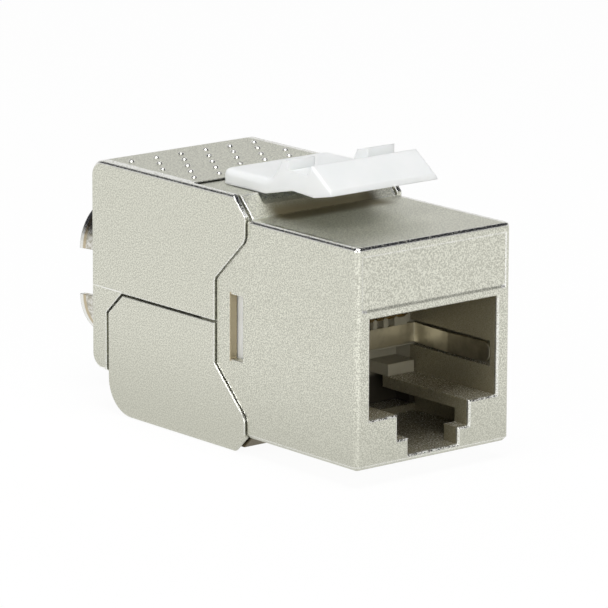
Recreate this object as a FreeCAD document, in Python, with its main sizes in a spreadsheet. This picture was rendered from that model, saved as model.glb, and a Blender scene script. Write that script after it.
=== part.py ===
"""Keystone jack for shielded network cable, tool-free, as a parametric document.

Datum used for drawing: X runs across the jack from its middle plane, Y runs back from
the front face of the nose, Z runs up from the underside of the nose. Each piece is then
placed so that the frame's origin lies under the middle of the jack, on the surface that
the lower wing rests on.
"""
import FreeCAD, Part
import os
import Sketcher

SIZES = [
    # how far a cut runs past the material that it opens
    ("overcut", 1.0),
    # nose: the die-cast front that fills the keystone opening
    ("nose_width", 14.5), ("nose_height", 16.2), ("nose_corner_round", 0.45), ("nose_top_round", 0.3),
    ("body_depth", 18.0), ("side_wall", 0.65), ("floor_wall", 0.5), ("roof_wall", 1.0),
    ("chamber_step", 0.5), ("label_side_rim", 0.5), ("label_low_rim", 0.55), ("label_top_rim", 0.7),
    ("label_sink", 0.08), ("label_bevel", 0.22),
    # plug port
    ("port_width", 12.0), ("port_top", 10.9), ("shelf_top", 3.58), ("shelf_thickness", 0.85),
    ("front_wall", 1.6), ("port_depth", 9.6), ("port_break", 0.12), ("under_shelf_wall", 0.8),
    ("tab_slot_width", 6.74), ("tab_step_height", 1.72), ("tab_step_width", 4.7),
    # shoulders that the wings' ears cover, and the block that carries the latch
    ("shoulder_length", 5.75), ("shoulder_chamfer", 1.4), ("lower_shoulder", 0.95),
    ("ear_recess", 0.3), ("block_inset", 0.5), ("block_rise", 1.52), ("block_overhang", 0.66),
    # side windows
    ("window_setback", 0.5), ("window_length", 1.5), ("window_low", 5.58), ("window_height", 4.85),
    # wings
    ("ear_thickness", 0.4), ("ear_play", 0.08), ("ear_gap", 0.12), ("wing_wall", 0.92),
    ("wing_step", 0.14), ("wing_drop", 1.25), ("wing_length", 12.65), ("wing_edge_round", 0.3),
    ("wing_top_back_round", 1.3), ("wing_foot_round", 1.2), ("lower_back_round", 2.7),
    ("ear_round", 1.2), ("plate_gap", 0.14), ("plate_bevel", 0.5), ("ear_inset", 2.1),
    ("seam_height", 8.08), ("seam_gap", 0.2), ("seam_inset", 3.8), ("tail_height", 6.3),
    ("tail_inset", 1.9), ("tail_gap", 0.1), ("leg_foot", 1.85), ("rear_wall", 0.95),
    ("ear_top_rise", 0.2), ("upper_turn_depth", 1.55), ("upper_ear_depth", 4.9),
    ("lower_ear_turn", 1.45), ("lower_ear_end", 4.95), ("lower_wing_chamfer", 1.3),
    ("rib_thickness", 0.7), ("rib_clearance", 0.35),
    # wing pivots, cast on the ears
    ("pivot_inset", 4.35), ("upper_pivot_depth", 0.25), ("lower_pivot", 0.2),
    ("pivot_radius", 0.7), ("pivot_play", 0.05), ("pivot_length", 0.5), ("pivot_sink", 0.2),
    # grip studs on the upper wing
    ("stud_radius", 0.27), ("stud_height", 0.16), ("stud_pitch", 2.34), ("stud_row_pitch", 1.87),
    ("stud_margin", 2.95),
    # cable clamps
    ("cable_radius", 3.15), ("clamp_wall", 0.45), ("clamp_play", 0.1), ("leg_play", 0.3),
    ("upper_clamp_edge", 9.45), ("lower_clamp_edge", 5.87), ("clamp_reach", 6.15),
    ("clamp_flange_width", 10.4), ("clamp_flange_height", 4.85),
    ("clamp_flare", 0.25), ("clamp_flare_length", 1.1),
    ("tooth_height", 0.35), ("tooth_width", 0.5), ("tooth_pitch", 1.1),
    # latch
    ("latch_width", 10.0), ("latch_play", 0.15), ("latch_length", 12.55), ("latch_overhang", 0.1),
    ("latch_lift", 0.02), ("latch_heel", 1.1), ("latch_root_length", 5.1),
    ("latch_root_thickness", 1.13), ("latch_arch_length", 3.1), ("latch_arch_rise", 0.73),
    ("latch_lip_rise", 1.0), ("latch_lip_height", 0.4), ("latch_lip_length", 1.95),
    ("latch_ramp_length", 2.3), ("latch_ramp_rise", 2.88), ("latch_notch_rise", 2.13),
    ("latch_notch_slope", 0.35), ("panel_gap", 2.55), ("latch_lug_length", 1.2),
    ("latch_lug_fall", 0.3), ("latch_lug_slope", 0.75), ("latch_lug_gap", 5.0),
    ("latch_recess_start", 0.2), ("latch_recess_drop", 0.95), ("latch_foot_width", 6.0),
    ("latch_foot_length", 0.6),
    ("latch_foot_depth", 0.95), ("latch_foot_play", 0.3), ("latch_corner_round", 0.7),
    ("latch_root_round", 0.5), ("latch_lug_round", 1.3), ("latch_edge_round", 0.2),
    # earthing band in the port
    ("band_low", 5.75), ("band_height", 1.5), ("band_front", 1.0), ("band_thickness", 0.25),
    ("band_groove", 0.5), ("band_play", 0.2), ("band_wall_play", 0.1), ("band_bulge", 0.25),
    # contacts, carrier and circuit board
    ("part_play", 0.1), ("contact_pitch", 1.02), ("contact_width", 0.45), ("contact_thickness", 0.3),
    ("contact_play", 0.08), ("contact_rise", 2.15), ("contact_bend", 2.3), ("contact_tip_back", 7.75),
    ("contact_corner", 0.4), ("contact_leg_drop", 0.85), ("contact_tip_drop", 2.6),
    ("contact_tip_length", 1.4), ("contact_tip_lift", 0.1), ("carrier_thickness", 1.9),
    ("carrier_recess", 0.3),
    ("carrier_roof_gap", 0.8), ("corner_block_length", 0.6), ("corner_block_height", 0.92),
    ("comb_gap", 0.1), ("comb_height", 1.4), ("comb_length", 0.7), ("comb_side_gap", 0.9),
    ("comb_slot", 0.62), ("board_thickness", 0.8), ("board_hole", 0.32),
    ("blade_hole", 0.55), ("blade_tail_drop", 1.9),
    # punch-down block, its blades and the wire manager
    ("punch_block_gap", 0.35), ("punch_block_proud", 0.4), ("blade_seat", 0.15),
    ("blade_pitch", 3.1), ("blade_thickness", 0.4), ("blade_half_width", 0.9),
    ("blade_slot_half", 0.13), ("blade_mouth_half", 0.48),
    ("blade_mouth_depth", 0.7), ("blade_play", 0.06), ("blade_reach", 3.7),
    ("blade_slot_depth", 3.2), ("blade_row_depth", 3.5), ("blade_row_lower", 3.4),
    ("manager_gap", 1.6), ("manager_play", 0.15), ("manager_side_play", 0.4), ("manager_low", 1.3),
    ("manager_top_play", 1.98), ("manager_web", 1.2), ("manager_round", 0.5),
    ("wire_groove", 1.1), ("wire_groove_reach", 1.6), ("wire_groove_web", 0.4),
]

# sizes that follow from the driving ones
DERIVED = {
    "label_width": "nose_width - 2 * label_side_rim",
    "label_low": "port_top + label_low_rim",
    "label_high": "nose_height - label_top_rim",
    "chamber_half": "nose_width / 2 - side_wall",
    "chamber_low": "floor_wall + chamber_step",
    "chamber_high": "nose_height - roof_wall",
    "shoulder_front": "body_depth - shoulder_length",
    "block_width": "nose_width - 2 * block_inset",
    "block_top": "nose_height + block_rise",
    "block_back": "body_depth + block_overhang",
    "window_front": "shoulder_front + window_setback",
    "wing_gap_width": "nose_width - 2 * ear_recess + 2 * ear_play",
    "wing_width": "wing_gap_width + 2 * ear_thickness",
    "wing_top": "block_top + wing_step",
    "wing_front": "shoulder_front + ear_gap",
    "wing_back": "body_depth + wing_length",
    "plate_front": "block_back + plate_gap",
    "ear_back": "body_depth - ear_inset",
    "seam_back": "wing_back - seam_inset",
    "tail_back": "wing_back - tail_inset",
    "ear_top_turn": "nose_height + ear_top_rise",
    "upper_ear_turn": "nose_height - upper_turn_depth",
    "upper_ear_end": "nose_height - upper_ear_depth",
    "pivot_back": "body_depth - pivot_inset",
    "upper_pivot": "nose_height - upper_pivot_depth",
    "stud_last_row": "wing_back - stud_margin",
    "clamp_radius": "cable_radius + clamp_wall",
    "clamp_back": "wing_back + clamp_reach",
    "cable_axis": "(upper_clamp_edge + lower_clamp_edge) / 2",
    "latch_back": "body_depth + latch_overhang",
    "latch_pivot": "latch_back - latch_heel",
    "latch_front": "latch_back - latch_length",
    "latch_base": "block_top + latch_lift",
    "latch_root_top": "block_top + latch_root_thickness",
    "latch_lip": "block_top + latch_lip_rise",
    "latch_ramp_back": "latch_front + latch_ramp_length",
    "latch_ramp_top": "block_top + latch_ramp_rise",
    "latch_notch_floor": "block_top + latch_notch_rise",
    "latch_lug_front": "latch_ramp_back + panel_gap",
    "band_outer": "port_width / 2 + band_groove - band_wall_play",
    "band_high": "band_low + band_height",
    "contact_root": "port_top + contact_rise",
    "contact_top": "contact_root + contact_thickness",
    "contact_tip_low": "port_top - contact_tip_drop",
    "contact_slot_half": "contact_width / 2 + contact_play",
    "carrier_back": "port_depth + carrier_thickness",
    "carrier_roof_top": "chamber_high - carrier_roof_gap",
    "carrier_front": "front_wall + part_play",
    "comb_low": "band_high + comb_gap",
    "board_back": "carrier_back + board_thickness",
    "punch_block_front": "board_back + punch_block_gap",
    "punch_block_back": "body_depth + punch_block_proud",
    "blade_front": "punch_block_front + blade_seat",
    "blade_back": "punch_block_back + blade_reach",
    "blade_row_upper": "nose_height - blade_row_depth",
    "manager_front": "punch_block_back + manager_gap",
    "manager_back": "tail_back - rear_wall - clamp_wall - manager_play",
    "manager_width": "wing_width - 2 * wing_wall - 2 * manager_side_play",
    "manager_high": "wing_top - wing_wall - manager_top_play",
}

CONTACTS = 8
BLADES_PER_ROW = 4
STUDS_LONG_ROW = 6
LONG_ROWS = 3
STUD_SIDES = 10
HOLE_SIDES = 8
CLAMP_TEETH = 3
PLANE_NORMALS = {"XY_Plane": 1, "XZ_Plane": -1, "YZ_Plane": 1}

doc = FreeCAD.newDocument("keystone_jack")
sheet = doc.addObject("Spreadsheet::Sheet", "Sizes")


def fill_sheet():
    """One row for each driving size: its name in column A, its value in column B."""
    for row, (name, value) in enumerate(SIZES, start=1):
        sheet.set(f"A{row}", name)
        sheet.set(f"B{row}", str(value))
        sheet.setAlias(f"B{row}", name)
    doc.recompute()


def bound(text):
    """An expression in which each size's name reads the sheet, or what it follows from."""
    word = ""
    parts = []
    for letter in text + " ":
        if letter.isalnum() or letter == "_":
            word += letter
            continue
        if word in DERIVED:
            parts.append(f"({bound(DERIVED[word])})")
        elif word:
            parts.append(f"Sizes.{word}" if word in ALIASES else word)
        word = ""
        parts.append(letter)
    return "".join(parts).strip()


ALIASES = {name for name, value in SIZES}


def value_of(text):
    """The present value of an expression, in millimetres."""
    result = sheet.evalExpression(bound(text))
    return float(getattr(result, "Value", result))


def new_body(label):
    """An empty body, placed from the drawing datum into the jack's own frame."""
    body = doc.addObject("PartDesign::Body", label)
    body.Label = label
    body.setExpression("Placement.Base.y", bound("-clamp_back / 2"))
    body.setExpression("Placement.Base.z", bound("wing_drop"))
    return body


def new_sketch(body, plane, at="0"):
    """A sketch on one of the body's origin planes, moved along that plane's normal to at."""
    sketch = body.newObject("Sketcher::SketchObject", f"{body.Label}_sketch")
    support = next(item for item in body.Origin.OriginFeatures if item.Role == plane)
    sketch.AttachmentSupport = (support, [""])
    sketch.MapMode = "FlatFace"
    sign = "" if PLANE_NORMALS[plane] > 0 else "-"
    sketch.setExpression(".AttachmentOffset.Base.z", bound(f"{sign}({at})"))
    return sketch


def bind(sketch, constraint, text):
    """Add a constraint and tie its value to an expression."""
    index = sketch.addConstraint(constraint)
    sketch.setExpression(f"Constraints[{index}]", bound(text))


def draw_outline(sketch, corners):
    """A closed outline of straight lines through corners, each a pair of expressions."""
    first = sketch.GeometryCount
    count = len(corners)
    places = [(value_of(u), value_of(v)) for u, v in corners]
    for index in range(count):
        start = FreeCAD.Vector(*places[index], 0)
        end = FreeCAD.Vector(*places[(index + 1) % count], 0)
        sketch.addGeometry(Part.LineSegment(start, end))
    for index in range(count):
        following = first + (index + 1) % count
        sketch.addConstraint(Sketcher.Constraint("Coincident", first + index, 2, following, 1))
    for index, (u, v) in enumerate(corners):
        line = first + index
        bind(sketch, Sketcher.Constraint("DistanceX", -1, 1, line, 1, places[index][0]), u)
        bind(sketch, Sketcher.Constraint("DistanceY", -1, 1, line, 1, places[index][1]), v)


def draw_rectangle(sketch, left, right, low, high):
    """A rectangle between four expressions."""
    draw_outline(sketch, [(left, low), (right, low), (right, high), (left, high)])


def draw_circle(sketch, u, v, radius):
    """A circle about a point, all three given as expressions."""
    index = sketch.GeometryCount
    centre = FreeCAD.Vector(value_of(u), value_of(v), 0)
    sketch.addGeometry(Part.Circle(centre, FreeCAD.Vector(0, 0, 1), value_of(radius)))
    bind(sketch, Sketcher.Constraint("DistanceX", -1, 1, index, 3, centre.x), u)
    bind(sketch, Sketcher.Constraint("DistanceY", -1, 1, index, 3, centre.y), v)
    bind(sketch, Sketcher.Constraint("Radius", index, value_of(radius)), radius)


def draw_polygon(sketch, u, v, radius, sides):
    """A regular polygon about a point: a round form with few faces."""
    turns = [360 * number / sides for number in range(sides)]
    draw_outline(sketch, [(f"{u} + ({radius}) * cos({turn}deg)", f"{v} + ({radius}) * sin({turn}deg)")
                          for turn in turns])


def extrude(body, kind, sketch, length, forward=True, both_ways=False):
    """A Pad or Pocket of a sketch, along the plane's row axis or against it."""
    feature = body.newObject(f"PartDesign::{kind}", f"{body.Label}_{kind.lower()}")
    feature.Profile = sketch
    feature.setExpression("Length", bound(length))
    if both_ways:
        feature.Midplane = True
    else:
        normal = PLANE_NORMALS[sketch.AttachmentSupport[0][0].Role]
        natural = normal if kind == "Pad" else -normal
        feature.Reversed = (natural > 0) != forward
    sketch.Visibility = False
    doc.recompute()
    return feature


def pad(body, sketch, length, forward=True, both_ways=False):
    return extrude(body, "Pad", sketch, length, forward, both_ways)


def pocket(body, sketch, length, forward=True, both_ways=False):
    """A Pocket, which has to take something away."""
    before = body.Shape.Volume
    feature = extrude(body, "Pocket", sketch, length, forward, both_ways)
    if feature.Shape.Volume >= before - 1e-6:
        raise RuntimeError(f"{feature.Name} cuts nothing")
    return feature


def edge_names(feature, wanted):
    """Names of the feature's edges for which wanted(low, high, edge) holds."""
    names = []
    for number, edge in enumerate(feature.Shape.Edges, start=1):
        box = edge.BoundBox
        low = FreeCAD.Vector(box.XMin, box.YMin, box.ZMin)
        high = FreeCAD.Vector(box.XMax, box.YMax, box.ZMax)
        if wanted(low, high, edge):
            names.append(f"Edge{number}")
    return names


def near(first, second):
    return abs(first - second) < 1e-4


def dress(body, kind, size, wanted):
    """A Fillet or Chamfer on the edges of the body's last feature that wanted picks."""
    base = body.Tip
    names = edge_names(base, wanted)
    if not names:
        raise RuntimeError(f"{body.Label}: no edges to dress")
    feature = body.newObject(f"PartDesign::{kind}", f"{body.Label}_{kind.lower()}")
    feature.Base = (base, names)
    feature.setExpression("Radius" if kind == "Fillet" else "Size", bound(size))
    doc.recompute()
    return feature


def round_corner(body, radius, y, z):
    """Round the corner of a side outline that runs across the body at (y, z)."""
    y_place = value_of(y)
    z_place = value_of(z)
    dress(body, "Fillet", radius,
          lambda low, high, edge: near(low.y, y_place) and near(high.y, y_place)
          and near(low.z, z_place) and near(high.z, z_place))


def add_nose(body):
    """The cast block of the nose with rounded front corners and a rounded top edge."""
    sketch = new_sketch(body, "XY_Plane")
    draw_rectangle(sketch, "-nose_width / 2", "nose_width / 2", "0", "body_depth")
    pad(body, sketch, "nose_height")
    dress(body, "Fillet", "nose_corner_round",
          lambda low, high, edge: near(high.y, 0) and high.z - low.z > 1)
    top = value_of("nose_height")
    dress(body, "Fillet", "nose_top_round",
          lambda low, high, edge: near(low.z, top) and near(high.y, 0))
    dress(body, "Chamfer", "nose_top_round",
          lambda low, high, edge: near(high.z, 0) and near(high.y, 0))


def add_shoulders(body):
    """The latch block above the nose and the catch shoulder below it."""
    side = new_sketch(body, "YZ_Plane")
    draw_outline(side, [
        ("shoulder_front", "nose_height - roof_wall"),
        ("body_depth", "nose_height - roof_wall"),
        ("body_depth", "nose_height"),
        ("block_back", "nose_height"),
        ("block_back", "block_top"),
        ("shoulder_front + shoulder_chamfer", "block_top"),
        ("shoulder_front", "nose_height"),
    ])
    pad(body, side, "block_width", both_ways=True)
    under = new_sketch(body, "YZ_Plane")
    draw_outline(under, [
        ("shoulder_front", "floor_wall"),
        ("shoulder_front", "0"),
        ("shoulder_front + lower_shoulder", "-lower_shoulder"),
        ("body_depth", "-lower_shoulder"),
        ("body_depth", "floor_wall"),
    ])
    pad(body, under, "block_width", both_ways=True)


def cut_port(body):
    """The plug port: stepped mouth, straight cavity and the space for the plug's tab."""
    half_port = "port_width / 2"
    half_slot = "tab_slot_width / 2"
    half_step = "tab_step_width / 2"
    left_side = [("-" + half_port, "port_top"), ("-" + half_port, "shelf_top"),
                 ("-" + half_slot, "shelf_top"), ("-" + half_slot, "tab_step_height")]
    right_side = [(half_slot, "tab_step_height"), (half_slot, "shelf_top"),
                  (half_port, "shelf_top"), (half_port, "port_top")]
    step = [("-" + half_step, "tab_step_height"), ("-" + half_step, "floor_wall"),
            (half_step, "floor_wall"), (half_step, "tab_step_height")]
    mouth = new_sketch(body, "XZ_Plane")
    draw_outline(mouth, left_side + step + right_side)
    pocket(body, mouth, "front_wall")
    cavity = new_sketch(body, "XZ_Plane", "front_wall")
    draw_outline(cavity, left_side + right_side)
    pocket(body, cavity, "port_depth - front_wall")
    under = new_sketch(body, "XZ_Plane", "front_wall")
    half_under = "(nose_width / 2 - under_shelf_wall)"
    draw_rectangle(under, "-" + half_under, half_under, "floor_wall", "shelf_top - shelf_thickness")
    pocket(body, under, "port_depth - front_wall")
    roof = new_sketch(body, "XZ_Plane", "front_wall")
    draw_rectangle(roof, "-" + half_port, half_port, "port_top", "carrier_roof_top + part_play")
    pocket(body, roof, "port_depth - front_wall")


def cut_chamber(body):
    """The chamber behind the port, and the grooves that take the earthing springs."""
    sketch = new_sketch(body, "XZ_Plane", "port_depth")
    draw_rectangle(sketch, "-chamber_half", "chamber_half", "chamber_low", "chamber_high")
    pocket(body, sketch, "body_depth - port_depth")
    grooves = new_sketch(body, "XZ_Plane", "band_front - band_play")
    for side in ("-", ""):
        draw_rectangle(grooves, f"{side}(port_width / 2)", f"{side}(port_width / 2 + band_groove)",
                       "band_low - band_play", "band_high + band_play")
    pocket(body, grooves, "port_depth - band_front + band_play")


def cut_windows(body):
    """The two side windows through which the white block shows."""
    sketch = new_sketch(body, "YZ_Plane")
    draw_rectangle(sketch, "window_front", "window_front + window_length",
                   "window_low", "window_low + window_height")
    pocket(body, sketch, "nose_width + overcut", both_ways=True)


def cut_ear_recesses(body):
    """Shallow recesses in both flanks, in which the wings' ears lie almost flush."""
    top_turn = "upper_ear_turn - ear_gap / 2"
    top_end = "upper_ear_end - ear_gap / 2"
    low_turn = "lower_ear_turn + ear_gap / 2"
    low_end = "lower_ear_end + ear_gap / 2"
    narrow = "ear_back - ear_gap"
    for side, forward in (("", False), ("-", True)):
        sketch = new_sketch(body, "YZ_Plane", f"{side}nose_width / 2")
        draw_outline(sketch, [
            ("shoulder_front", "nose_height + overcut"), ("shoulder_front", top_turn),
            (narrow, top_end), (narrow, low_end), ("shoulder_front", low_turn),
            ("shoulder_front", "-lower_shoulder - overcut"),
            ("body_depth + overcut", "-lower_shoulder - overcut"),
            ("body_depth + overcut", "nose_height + overcut"),
        ])
        pocket(body, sketch, "ear_recess", forward=forward)
    round_corner(body, "ear_round", "shoulder_front", top_turn)
    round_corner(body, "ear_round", "shoulder_front", low_turn)
    round_corner(body, "ear_round / 2", narrow, top_end)


def cut_pivot_holes(body):
    """Blind holes in both flanks for the pivots of the two wings."""
    for side, forward in (("", False), ("-", True)):
        sketch = new_sketch(body, "YZ_Plane", f"{side}(nose_width / 2 - ear_recess)")
        for height in ("upper_pivot", "lower_pivot"):
            draw_circle(sketch, "pivot_back", height, "pivot_radius + pivot_play")
        pocket(body, sketch, "pivot_length - ear_play + pivot_sink", forward=forward)


def cut_latch_seat(body):
    """The sloping recess under the latch and the slot that takes its foot."""
    slope = new_sketch(body, "YZ_Plane")
    draw_outline(slope, [
        ("latch_pivot + latch_recess_start", "block_top"),
        ("shoulder_front - overcut / 2", "block_top - latch_recess_drop"),
        ("shoulder_front - overcut / 2", "block_top + overcut"),
        ("latch_pivot + latch_recess_start", "block_top + overcut"),
    ])
    pocket(body, slope, "latch_width + 2 * latch_play", both_ways=True)
    slot = new_sketch(body, "XY_Plane", "block_top")
    reach = "(latch_foot_length / 2 + latch_foot_play)"
    draw_rectangle(slot, "-latch_foot_width / 2 - latch_play", "latch_foot_width / 2 + latch_play",
                   f"latch_pivot - {reach}", f"latch_pivot + {reach}")
    pocket(body, slot, "latch_foot_depth + latch_play", forward=False)


def cut_label_field(body):
    """The shallow bare field above the port."""
    sketch = new_sketch(body, "YZ_Plane")
    draw_outline(sketch, [("0", "label_low"), ("label_sink", "label_low + label_bevel"),
                          ("label_sink", "label_high"), ("0", "label_high")])
    pocket(body, sketch, "label_width", both_ways=True)


def make_front_body():
    """Zinc casting: nose, port, chamber, latch block and the bearings of the wings."""
    body = new_body("front_body")
    add_nose(body)
    add_shoulders(body)
    cut_port(body)
    half_port = value_of("port_width / 2")
    top = value_of("port_top")
    floor = value_of("floor_wall")

    def at_mouth(low, high, edge):
        inside = max(abs(low.x), abs(high.x)) <= half_port + 1e-4
        return near(low.y, 0) and near(high.y, 0) and inside and floor - 1e-4 <= low.z <= top + 1e-4

    dress(body, "Chamfer", "port_break", at_mouth)
    cut_chamber(body)
    cut_windows(body)
    cut_ear_recesses(body)
    cut_pivot_holes(body)
    cut_latch_seat(body)
    cut_label_field(body)


def make_shield_band():
    """Spring strip bent to a U: two earthing springs on the port's walls and its web."""
    body = new_body("shield_band")
    inner = "(band_outer - band_thickness)"
    web_back = "port_depth - band_wall_play / 5"
    middle = "(band_front + port_depth) / 2"
    sketch = new_sketch(body, "XY_Plane", "band_low")
    right = [("band_outer", web_back), ("band_outer - band_bulge", middle),
             ("band_outer", "band_front"), (inner, "band_front"),
             (f"{inner} - band_bulge", middle), (inner, f"{web_back} - band_thickness")]
    left = [(f"-({u})", v) for u, v in reversed(right)]
    draw_outline(sketch, right + left)
    pad(body, sketch, "band_height")
    front = value_of("band_front")
    dress(body, "Fillet", "band_height * 0.45",
          lambda low, high, edge: near(low.y, front) and near(high.y, front)
          and near(low.z, high.z))


def contact_middle(index):
    """Place across the jack of one of the contacts."""
    return f"(contact_pitch * {index - (CONTACTS - 1) / 2})"


def cut_contact_slots(body, start, low, high, length, half="contact_slot_half"):
    """A row of slots, one for each contact, cut back from a start plane."""
    slots = new_sketch(body, "XZ_Plane", start)
    for index in range(CONTACTS):
        middle = contact_middle(index)
        draw_rectangle(slots, f"{middle} - {half}", f"{middle} + {half}", low, high)
    pocket(body, slots, length)


def make_contact_carrier():
    """Plastic carrier: back plate, slotted roof, comb for the contacts' tips, corner blocks."""
    body = new_body("contact_carrier")
    half_chamber = "(chamber_half - part_play)"
    half_port = "(port_width / 2 - part_play)"
    plate = new_sketch(body, "XZ_Plane", "port_depth")
    draw_rectangle(plate, "-" + half_chamber, half_chamber,
                   "chamber_low + part_play", "chamber_high - part_play")
    pad(body, plate, "carrier_thickness")
    roof = new_sketch(body, "XZ_Plane", "carrier_front")
    draw_rectangle(roof, "-" + half_port, half_port, "port_top", "carrier_roof_top")
    pad(body, roof, "port_depth - carrier_front")
    comb = new_sketch(body, "XZ_Plane", "port_depth - comb_length")
    half_comb = "(port_width / 2 - comb_side_gap)"
    draw_rectangle(comb, "-" + half_comb, half_comb, "comb_low", "comb_low + comb_height")
    pad(body, comb, "comb_length")
    recess = new_sketch(body, "XZ_Plane", "port_depth")
    draw_rectangle(recess, "-port_width / 2", "port_width / 2", "floor_wall", "band_low - band_play")
    pocket(body, recess, "carrier_thickness - carrier_recess")
    blocks = new_sketch(body, "XZ_Plane", "port_depth - corner_block_length")
    for side in ("-", ""):
        draw_rectangle(blocks, f"{side}tab_slot_width / 2", f"{side}{half_port}",
                       "shelf_top + part_play / 5", "shelf_top + corner_block_height")
    pad(body, blocks, "carrier_thickness + corner_block_length")
    top = "contact_top + part_play"
    cut_contact_slots(body, "carrier_front", "port_top - overcut", top,
                      "port_depth - front_wall - overcut")
    cut_contact_slots(body, "port_depth - 1.5", "contact_root - part_play", top,
                      "carrier_thickness + 2")
    cut_contact_slots(body, "port_depth - comb_length", "comb_low - overcut",
                      "comb_low + comb_height + overcut", "comb_length", "comb_slot / 2")


def make_contact(index):
    """One plug contact: soldered tail, run along the roof, bend and sprung free leg."""
    body = new_body(f"contact_{index + 1}")
    sketch = new_sketch(body, "YZ_Plane", contact_middle(index))
    half = "contact_thickness / 2"
    tip_end = "contact_tip_back + contact_tip_length"
    draw_outline(sketch, [
        ("board_back + contact_thickness", "contact_root"),
        ("board_back + contact_thickness", "contact_top"),
        ("contact_bend + contact_corner", "contact_top"),
        ("contact_bend", "contact_top - contact_corner"),
        ("contact_bend", "contact_top - contact_leg_drop"),
        ("contact_tip_back", "contact_tip_low"),
        (tip_end, "contact_tip_low + contact_tip_lift"),
        (tip_end, "contact_tip_low + contact_tip_lift + contact_thickness"),
        ("contact_tip_back", f"contact_tip_low + contact_thickness + {half}"),
        ("contact_bend + contact_thickness", f"contact_top - contact_leg_drop + {half}"),
        ("contact_bend + contact_thickness", f"contact_root - {half}"),
        (f"contact_bend + contact_thickness + {half}", "contact_root"),
    ])
    pad(body, sketch, "contact_width", both_ways=True)


def make_circuit_board():
    """Circuit board between the contacts and the punch-down blades, with its plated holes."""
    body = new_body("circuit_board")
    front = "carrier_back + part_play / 5"
    sketch = new_sketch(body, "XZ_Plane", front)
    half_width = "(chamber_half - part_play)"
    draw_rectangle(sketch, "-" + half_width, half_width,
                   "chamber_low + part_play", "chamber_high - part_play")
    pad(body, sketch, "board_thickness")
    rows = [("contact_root + contact_thickness / 2", "board_hole", CONTACTS, "contact_pitch"),
            ("blade_row_upper - blade_tail_drop", "blade_hole", BLADES_PER_ROW, "blade_pitch"),
            ("blade_row_lower", "blade_hole", BLADES_PER_ROW, "blade_pitch")]
    for height, radius, count, pitch in rows:
        hole = new_sketch(body, "XZ_Plane", front)
        draw_polygon(hole, f"(-{pitch} * {(count - 1) / 2})", height, radius, HOLE_SIDES)
        cut = pocket(body, hole, "board_thickness")
        row = body.newObject("PartDesign::LinearPattern", f"{body.Label}_row")
        row.Originals = [cut]
        row.Direction = (hole, ["H_Axis"])
        row.Occurrences = count
        row.setExpression("Length", bound(f"{pitch} * {count - 1}"))
        body.Tip = row
        doc.recompute()


def blade_middle(index):
    """Place across the jack of one column of blades."""
    return f"(blade_pitch * {index - (BLADES_PER_ROW - 1) / 2})"


def blade_places():
    """Number, middle across and height of each punch-down blade."""
    places = [(blade_middle(index), row) for row in ("blade_row_upper", "blade_row_lower")
              for index in range(BLADES_PER_ROW)]
    return [(number, middle, row) for number, (middle, row) in enumerate(places, start=1)]


def make_punch_block():
    """White block that holds the blades and shows in the side windows."""
    body = new_body("idc_block")
    depth = "punch_block_back - punch_block_front"
    half_width = "(chamber_half - part_play)"
    base = new_sketch(body, "XZ_Plane", "punch_block_front")
    draw_rectangle(base, "-" + half_width, half_width,
                   "chamber_low + part_play", "chamber_high - part_play")
    pad(body, base, depth)
    slots = new_sketch(body, "XZ_Plane", "punch_block_front")
    cut_half_width = "(blade_half_width + blade_play)"
    cut_half_height = "(blade_thickness / 2 + blade_play)"
    for number, middle, height in blade_places():
        draw_rectangle(slots, f"{middle} - {cut_half_width}", f"{middle} + {cut_half_width}",
                       f"{height} - {cut_half_height}", f"{height} + {cut_half_height}")
    pocket(body, slots, depth)


def make_blade(number, middle, height):
    """One forked blade that cuts through a conductor's insulation."""
    body = new_body(f"idc_blade_{number}")
    sketch = new_sketch(body, "XY_Plane", f"{height} - blade_thickness / 2")
    half = [
        ("blade_half_width", "blade_front"),
        ("blade_half_width", "blade_back"),
        ("blade_mouth_half", "blade_back"),
        ("blade_slot_half", "blade_back - blade_mouth_depth"),
        ("blade_slot_half", "blade_back - blade_slot_depth"),
    ]
    right = [(f"{middle} + {u}", v) for u, v in half]
    left = [(f"{middle} - {u}", v) for u, v in reversed(half)]
    draw_outline(sketch, right + left)
    pad(body, sketch, "blade_thickness")


def make_wire_manager():
    """White cap that lays the eight conductors across the blades."""
    body = new_body("wire_manager")
    base = new_sketch(body, "XZ_Plane", "manager_front")
    draw_rectangle(base, "-manager_width / 2", "manager_width / 2", "manager_low", "manager_high")
    pad(body, base, "manager_back - manager_front")
    half = value_of("manager_width / 2")
    dress(body, "Fillet", "manager_round",
          lambda low, high, edge: near(abs(low.x), half) and near(low.x, high.x)
          and near(low.z, high.z))
    blades = new_sketch(body, "XZ_Plane", "manager_front")
    cut_half_width = "(blade_half_width + part_play)"
    cut_half_height = "(blade_thickness / 2 + part_play)"
    for number, middle, height in blade_places():
        draw_rectangle(blades, f"{middle} - {cut_half_width}", f"{middle} + {cut_half_width}",
                       f"{height} - {cut_half_height}", f"{height} + {cut_half_height}")
    pocket(body, blades, "blade_back - manager_front + part_play")
    passage = new_sketch(body, "XZ_Plane", "manager_back")
    draw_circle(passage, "0", "cable_axis", "cable_radius")
    pocket(body, passage, "manager_back - manager_front - manager_web", forward=False)
    for low, high in (("blade_row_upper - wire_groove_reach", "manager_high + overcut"),
                      ("manager_low - overcut", "blade_row_lower + wire_groove_reach")):
        grooves = new_sketch(body, "XZ_Plane", "manager_back")
        for index in range(BLADES_PER_ROW):
            middle = blade_middle(index)
            draw_rectangle(grooves, f"{middle} - wire_groove / 2", f"{middle} + wire_groove / 2",
                           low, high)
        pocket(body, grooves, "manager_back - blade_back - part_play - wire_groove_web",
               forward=False)


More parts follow.
